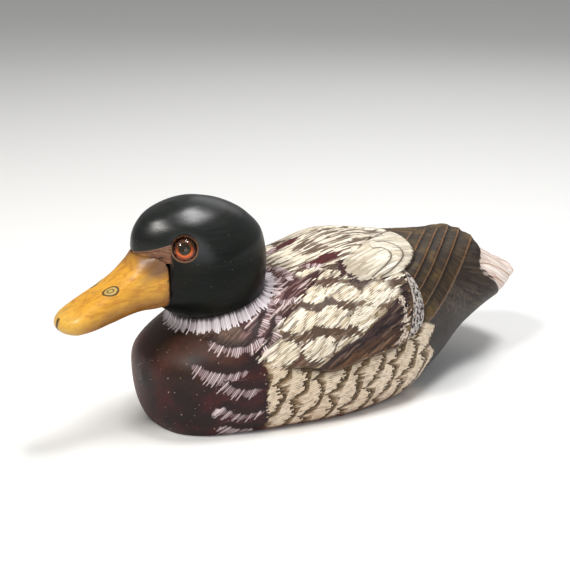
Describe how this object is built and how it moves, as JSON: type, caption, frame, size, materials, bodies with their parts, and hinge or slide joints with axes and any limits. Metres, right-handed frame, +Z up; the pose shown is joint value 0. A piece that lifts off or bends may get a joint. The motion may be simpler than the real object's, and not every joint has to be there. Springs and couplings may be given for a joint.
{
  "type": "floating duck decoy",
  "caption": "Hollow carved and painted drake decoy that floats upright, with a head that swivels on its neck bolt, glass eyes, an inset ballast weight and a line-tie ring underneath.",
  "frame": {"origin": "middle of the overall box, on the plane of the flat underside", "axes": "-Y forward (bill), +X the duck's left, +Z up"},
  "size_m": [0.116, 0.292, 0.1175],
  "materials": {
    "body_paint": "carved pine, painted in oils, dull satin",
    "board_wood": "pine board, painted brown",
    "brass": "dull brass",
    "weight_metal": "cast lead, dull",
    "steel": "zinc plated",
    "pad_leather": "oiled leather",
    "head_paint": "carved pine, painted near-black green, satin",
    "bill_paint": "carved pine, painted ochre, satin varnish",
    "dowel_wood": "birch dowel",
    "eye_glass": "clear glass dome",
    "iris_amber": "enamel behind the glass",
    "pupil_black": "black enamel",
    "putty": "dried setting putty"
  },
  "bodies": {
    "body": {"body_shell": "body_paint", "bottom_board": "board_wood", "board_screws": "brass", "ballast_weight": "weight_metal", "ballast_screws": "brass", "tie_staple": "brass", "neck_bush": "brass", "neck_pad": "pad_leather"},
    "head": {"head": "head_paint", "head_insert": "brass", "neck_bolt": "steel", "neck_washer": "steel", "neck_spring_washer": "steel", "bill": "bill_paint", "bill_dowel": "dowel_wood", "eye_glass_left": "eye_glass", "eye_glass_right": "eye_glass", "eye_iris_left": "iris_amber", "eye_iris_right": "iris_amber", "eye_pupil_left": "pupil_black", "eye_pupil_right": "pupil_black", "eye_putty_left": "putty", "eye_putty_right": "putty", "eye_stems": "steel"},
    "tie_ring": {"tie_ring": "brass"}
  },
  "joints": [
    {"name": "head_swivel", "type": "hinge", "parent": "body", "child": "head", "pos_m": [0, -0.057, 0.064], "axis": [0, -0.2588, 0.9659], "range_deg": [-90, 90]},
    {"name": "ring_swing", "type": "hinge", "parent": "body", "child": "tie_ring", "pos_m": [0, -0.072, 0.0041], "axis": [-1, 0, 0], "range_deg": [-8, 95]}
  ]
}
